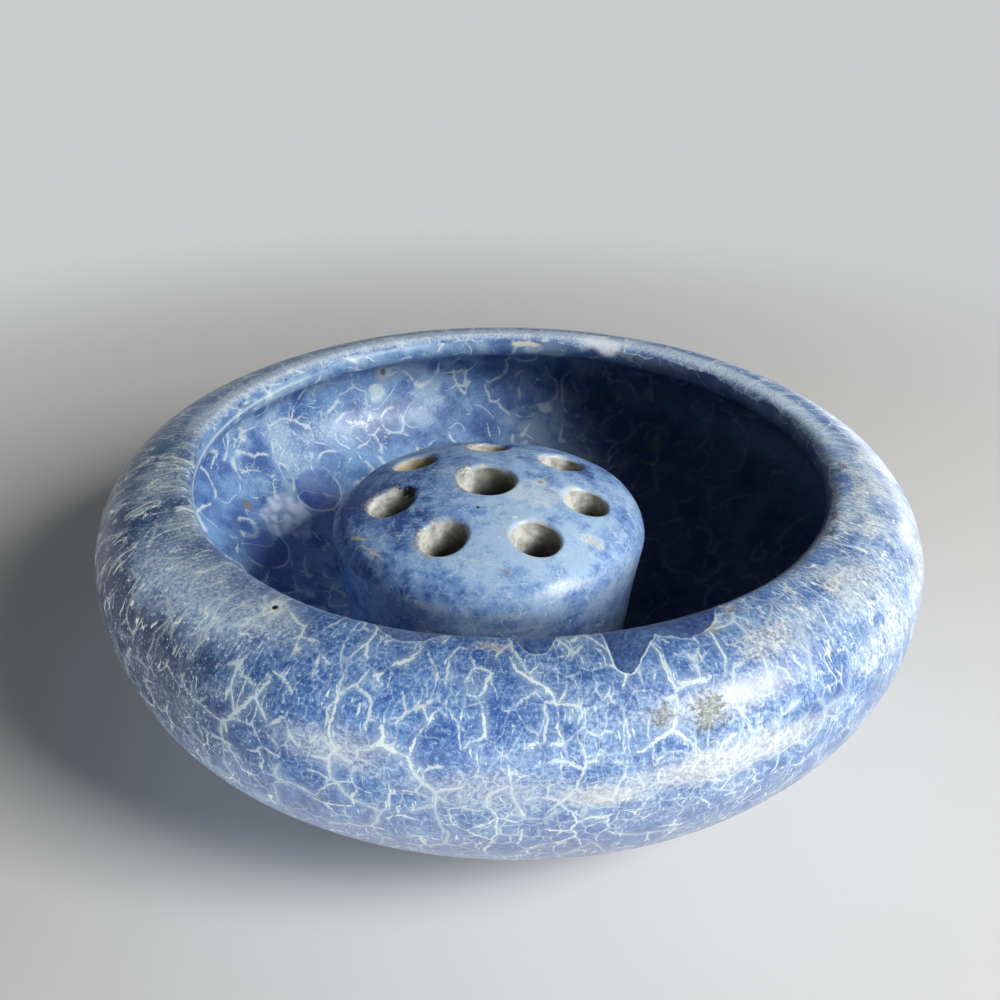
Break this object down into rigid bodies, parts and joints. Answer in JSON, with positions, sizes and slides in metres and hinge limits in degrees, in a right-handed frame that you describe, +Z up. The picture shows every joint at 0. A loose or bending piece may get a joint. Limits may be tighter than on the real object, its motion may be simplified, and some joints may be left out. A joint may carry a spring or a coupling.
{
  "type": "flower bowl with flower frog",
  "caption": "Low round ceramic flower bowl with an inturned rolled lip and a loose domed flower frog with upright stem holes, in mottled blue crackle glaze.",
  "frame": {"origin": "on the surface it stands on, under the middle of the bowl's foot ring", "axes": "+Z up along the bowl's turning axis, -Y towards the viewer of the picture, +X to the viewer's right"},
  "size_m": [0.24, 0.24, 0.076],
  "materials": {
    "bowl_glaze": "satin",
    "frog_glaze": "satin"
  },
  "bodies": {
    "bowl": {"bowl": "bowl_glaze"},
    "flower_frog": {"flower_frog": "frog_glaze"}
  },
  "joints": [
    {"name": "frog_lift", "type": "slide", "parent": "bowl", "child": "flower_frog", "axis": [0, 0, 1], "range_m": [0, 0.1]}
  ]
}
